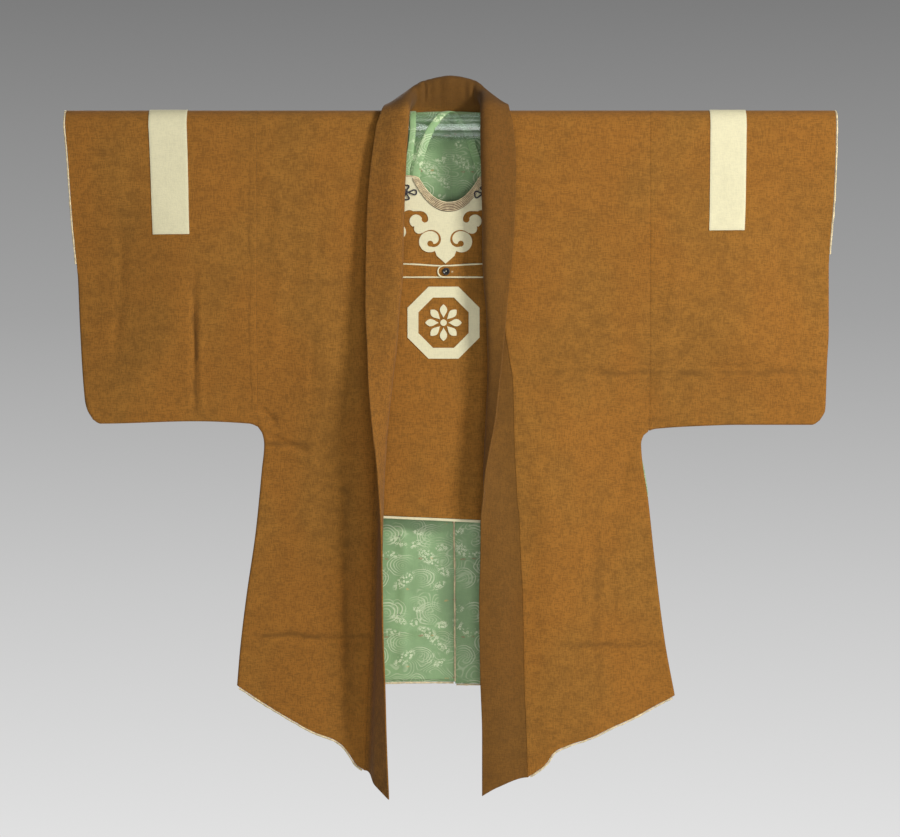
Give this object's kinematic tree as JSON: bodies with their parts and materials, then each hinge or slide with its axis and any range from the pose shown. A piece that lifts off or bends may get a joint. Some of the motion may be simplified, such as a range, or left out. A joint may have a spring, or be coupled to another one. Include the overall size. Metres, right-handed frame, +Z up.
{
  "type": "firefighter jacket with chest cloth on a hanging rod",
  "caption": "Kimono-cut wool fire jacket with open front, turned collar, wide sleeves and a chest cloth, hanging on a clear horizontal rod.",
  "frame": {"origin": "middle of the clear rod that passes through both sleeves", "axes": "+X along the rod to the right as seen from the front, +Y to the back, +Z up"},
  "size_m": [1.3067, 0.1354, 1.2225],
  "materials": {
    "wool": "thick brown wool broadcloth, matt nap",
    "cream_wool": "cream wool, matt",
    "green_silk": "figured silk, soft sheen",
    "tan_piping": "plain cotton cord",
    "black_cord": "black silk cord",
    "button": "polished black",
    "clear_tube": "clear, polished"
  },
  "bodies": {
    "root": {"body_left": "wool", "body_right": "wool", "sleeve_left": "wool", "sleeve_right": "wool", "collar": "wool", "bib_panel": "wool", "belt_left": "wool", "belt_right": "wool", "stripe_left": "cream_wool", "stripe_right": "cream_wool", "bib_yoke": "cream_wool", "bib_cloud_left": "cream_wool", "bib_cloud_right": "cream_wool", "bib_binding": "cream_wool", "belt_binding_left": "cream_wool", "belt_binding_right": "cream_wool", "medallion_frame": "cream_wool", "medallion_rosette": "cream_wool", "lining_left": "green_silk", "lining_right": "green_silk", "neck_strap": "green_silk", "strap_loop": "green_silk", "cuff_piping_left": "tan_piping", "cuff_piping_right": "tan_piping", "front_hem_piping_left": "tan_piping", "front_hem_piping_right": "tan_piping", "back_hem_piping_left": "tan_piping", "back_hem_piping_right": "tan_piping", "vent_piping": "tan_piping", "bib_neck_band": "tan_piping", "cord_knot_left": "black_cord", "cord_knot_right": "black_cord", "button": "button", "rod": "clear_tube"}
  },
  "joints": []
}
